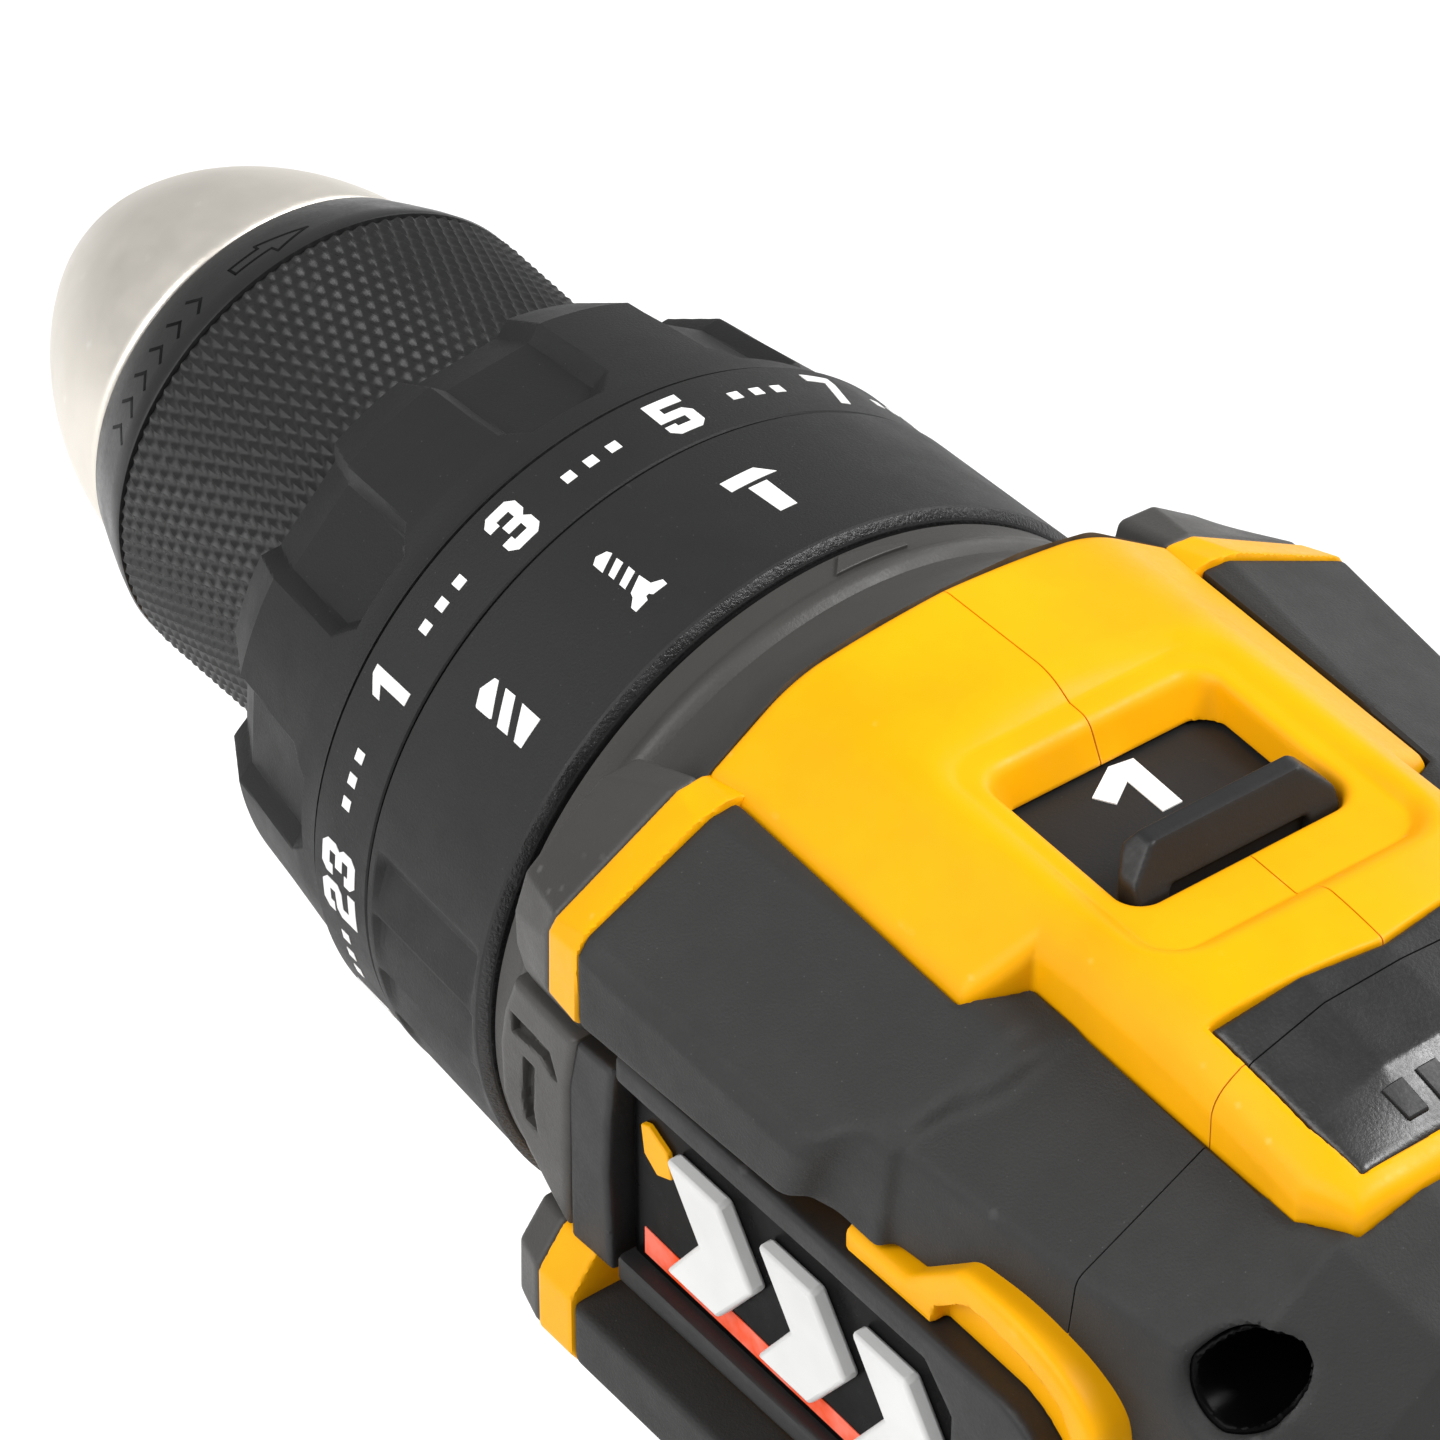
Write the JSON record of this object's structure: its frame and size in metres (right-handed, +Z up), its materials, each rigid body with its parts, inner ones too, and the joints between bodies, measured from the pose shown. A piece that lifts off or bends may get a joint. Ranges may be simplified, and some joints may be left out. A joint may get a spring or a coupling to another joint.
{
  "type": "cordless drill",
  "caption": "Cordless combi drill with keyless chuck, torque collar, mode ring, speed selector, trigger handle and slide-off battery pack.",
  "frame": {"origin": "centre of the battery pack's flat bottom face", "axes": "+X along the drive axis towards the chuck's nose, +Y to the operator's left, +Z up"},
  "size_m": [0.193, 0.075, 0.2204],
  "materials": {
    "abs_yellow": "fine satin moulded",
    "rubber": "fine grain",
    "dark_plastic": "fine grain",
    "case_grey": "satin",
    "badge_black": "gloss",
    "chuck_black": "black oxide, knurled",
    "chuck_steel": "satin nickel",
    "steel": "machined",
    "sintered": "sintered",
    "brass": "turned",
    "laminate": "laminated",
    "copper": "enamelled",
    "board": "gloss",
    "lens": "clear",
    "wire_red": "satin",
    "cell_blue": "satin"
  },
  "bodies": {
    "housing": {"housing_left": "abs_yellow", "housing_right": "abs_yellow", "overmould_left": "rubber", "overmould_right": "rubber", "rear_insert": "rubber", "badge_plates": "badge_black", "housing_screws": "steel", "gear_case": "case_grey", "ring_gear_1": "sintered", "clutch_ring_gear": "sintered", "motor_plate": "sintered", "stator": "laminate", "windings": "copper", "bearings": "steel", "hammer_ratchet_fixed": "sintered", "clutch_spring": "steel", "clutch_washer": "steel", "clutch_pins": "steel", "switch_module": "dark_plastic", "control_board": "board", "terminal_block": "dark_plastic", "led_lens": "lens", "motor_wires": "wire_red"},
    "selector": {"speed_selector": "dark_plastic"},
    "fork": {"shift_fork": "steel"},
    "shift": {"shift_ring": "sintered"},
    "mode": {"mode_ring": "dark_plastic"},
    "torque": {"torque_collar": "dark_plastic"},
    "clutch": {"clutch_nut": "sintered"},
    "direction": {"direction_lever": "dark_plastic"},
    "trigger": {"trigger": "dark_plastic"},
    "chuck": {"spindle": "steel", "output_carrier": "sintered", "hammer_ratchet_turning": "sintered", "chuck_body": "chuck_steel", "chuck_screw": "steel"},
    "sleeve": {"chuck_sleeve": "chuck_black", "jaw_nut": "brass"},
    "jaw_1": {"jaw_1": "steel"},
    "jaw_2": {"jaw_2": "steel"},
    "jaw_3": {"jaw_3": "steel"},
    "rotor": {"rotor_core": "laminate", "rotor_magnets": "steel", "motor_shaft": "steel", "fan": "dark_plastic"},
    "first_carrier": {"carrier_1": "sintered"},
    "second_carrier": {"carrier_2": "sintered"},
    "planet_1a": {"planet_1a": "sintered"},
    "planet_1b": {"planet_1b": "sintered"},
    "planet_1c": {"planet_1c": "sintered"},
    "planet_2a": {"planet_2a": "sintered"},
    "planet_2b": {"planet_2b": "sintered"},
    "planet_2c": {"planet_2c": "sintered"},
    "planet_3a": {"planet_3a": "sintered"},
    "planet_3b": {"planet_3b": "sintered"},
    "planet_3c": {"planet_3c": "sintered"},
    "pack": {"battery_lower_case": "dark_plastic", "battery_upper_case": "dark_plastic", "battery_cells": "cell_blue"},
    "button": {"battery_button": "abs_yellow"}
  },
  "joints": [
    {"name": "chuck_spin", "type": "hinge", "parent": "housing", "child": "chuck", "pos_m": [0.06, 0, 0.18], "axis": [1, 0, 0], "continuous": true},
    {"name": "sleeve_turn", "type": "hinge", "parent": "chuck", "child": "sleeve", "pos_m": [0.06, 0, 0.18], "axis": [1, 0, 0], "range_deg": [-3600, 0]},
    {"name": "jaw_1_slide", "type": "slide", "parent": "chuck", "child": "jaw_1", "axis": [0.9659, 0, 0.2588], "range_m": [0, 0.0226]},
    {"name": "jaw_2_slide", "type": "slide", "parent": "chuck", "child": "jaw_2", "axis": [0.9659, -0.2241, -0.1294], "range_m": [0, 0.0226]},
    {"name": "jaw_3_slide", "type": "slide", "parent": "chuck", "child": "jaw_3", "axis": [0.9659, 0.2241, -0.1294], "range_m": [0, 0.0226]},
    {"name": "rotor_spin", "type": "hinge", "parent": "housing", "child": "rotor", "pos_m": [0.06, 0, 0.18], "axis": [1, 0, 0], "continuous": true},
    {"name": "carrier_1_spin", "type": "hinge", "parent": "housing", "child": "first_carrier", "pos_m": [0.06, 0, 0.18], "axis": [1, 0, 0], "continuous": true},
    {"name": "carrier_2_spin", "type": "hinge", "parent": "housing", "child": "second_carrier", "pos_m": [0.06, 0, 0.18], "axis": [1, 0, 0], "continuous": true},
    {"name": "planet_1a_spin", "type": "hinge", "parent": "first_carrier", "child": "planet_1a", "pos_m": [0.06, 0, 0.168], "axis": [1, 0, 0], "continuous": true},
    {"name": "planet_1b_spin", "type": "hinge", "parent": "first_carrier", "child": "planet_1b", "pos_m": [0.06, 0.01039, 0.186], "axis": [1, 0, 0], "continuous": true},
    {"name": "planet_1c_spin", "type": "hinge", "parent": "first_carrier", "child": "planet_1c", "pos_m": [0.06, -0.01039, 0.186], "axis": [1, 0, 0], "continuous": true},
    {"name": "planet_2a_spin", "type": "hinge", "parent": "second_carrier", "child": "planet_2a", "pos_m": [0.06, 0, 0.168], "axis": [1, 0, 0], "continuous": true},
    {"name": "planet_2b_spin", "type": "hinge", "parent": "second_carrier", "child": "planet_2b", "pos_m": [0.06, 0.01039, 0.186], "axis": [1, 0, 0], "continuous": true},
    {"name": "planet_2c_spin", "type": "hinge", "parent": "second_carrier", "child": "planet_2c", "pos_m": [0.06, -0.01039, 0.186], "axis": [1, 0, 0], "continuous": true},
    {"name": "planet_3a_spin", "type": "hinge", "parent": "chuck", "child": "planet_3a", "pos_m": [0.06, 0, 0.168], "axis": [1, 0, 0], "continuous": true},
    {"name": "planet_3b_spin", "type": "hinge", "parent": "chuck", "child": "planet_3b", "pos_m": [0.06, 0.01039, 0.186], "axis": [1, 0, 0], "continuous": true},
    {"name": "planet_3c_spin", "type": "hinge", "parent": "chuck", "child": "planet_3c", "pos_m": [0.06, -0.01039, 0.186], "axis": [1, 0, 0], "continuous": true},
    {"name": "torque_turn", "type": "hinge", "parent": "housing", "child": "torque", "pos_m": [0.06, 0, 0.18], "axis": [1, 0, 0], "range_deg": [-270, 60], "deforming": ["clutch_spring"]},
    {"name": "clutch_nut_slide", "type": "slide", "parent": "torque", "child": "clutch", "axis": [1, 0, 0], "range_m": [-0.0045, 0.001]},
    {"name": "mode_turn", "type": "hinge", "parent": "housing", "child": "mode", "pos_m": [0.06, 0, 0.18], "axis": [1, 0, 0], "range_deg": [0, 48.4]},
    {"name": "selector_slide", "type": "slide", "parent": "housing", "child": "selector", "axis": [1, 0, 0], "range_m": [0, 0.0095]},
    {"name": "fork_swing", "type": "hinge", "parent": "housing", "child": "fork", "pos_m": [0.0168, 0, 0.189], "axis": [0, 1, 0], "range_deg": [0, 28.35]},
    {"name": "shift_ring_slide", "type": "slide", "parent": "housing", "child": "shift", "axis": [-1, 0, 0], "range_m": [0, 0.00441]},
    {"name": "direction_slide", "type": "slide", "parent": "housing", "child": "direction", "axis": [0, 1, 0], "range_m": [-0.0035, 0.0035]},
    {"name": "trigger_pull", "type": "slide", "parent": "housing", "child": "trigger", "axis": [-1, 0, 0], "range_m": [0, 0.0065], "stiffness_N_per_m": 350, "springref_m": -0.004},
    {"name": "pack_slide", "type": "slide", "parent": "housing", "child": "pack", "axis": [1, 0, 0], "range_m": [0, 0.085]},
    {"name": "button_push", "type": "slide", "parent": "pack", "child": "button", "axis": [0, 0, -1], "range_m": [0, 0.0035], "stiffness_N_per_m": 500, "springref_m": -0.003}
  ],
  "couplings": [
    {"joint": "jaw_1_slide", "follows": "sleeve_turn", "m_per_rad": -0.00035969},
    {"joint": "jaw_2_slide", "follows": "sleeve_turn", "m_per_rad": -0.00035969},
    {"joint": "jaw_3_slide", "follows": "sleeve_turn", "m_per_rad": -0.00035969},
    {"joint": "rotor_spin", "follows": "chuck_spin", "ratio": 64},
    {"joint": "carrier_1_spin", "follows": "chuck_spin", "ratio": 16},
    {"joint": "carrier_2_spin", "follows": "chuck_spin", "ratio": 4},
    {"joint": "planet_1a_spin", "follows": "chuck_spin", "ratio": -48},
    {"joint": "planet_1b_spin", "follows": "chuck_spin", "ratio": -48},
    {"joint": "planet_1c_spin", "follows": "chuck_spin", "ratio": -48},
    {"joint": "planet_2a_spin", "follows": "chuck_spin", "ratio": -12},
    {"joint": "planet_2b_spin", "follows": "chuck_spin", "ratio": -12},
    {"joint": "planet_2c_spin", "follows": "chuck_spin", "ratio": -12},
    {"joint": "planet_3a_spin", "follows": "chuck_spin", "ratio": -3},
    {"joint": "planet_3b_spin", "follows": "chuck_spin", "ratio": -3},
    {"joint": "planet_3c_spin", "follows": "chuck_spin", "ratio": -3},
    {"joint": "clutch_nut_slide", "follows": "torque_turn", "m_per_rad": 0.00095493},
    {"joint": "fork_swing", "follows": "selector_slide", "rad_per_m": 52.076},
    {"joint": "shift_ring_slide", "follows": "selector_slide", "ratio": 0.46392}
  ]
}
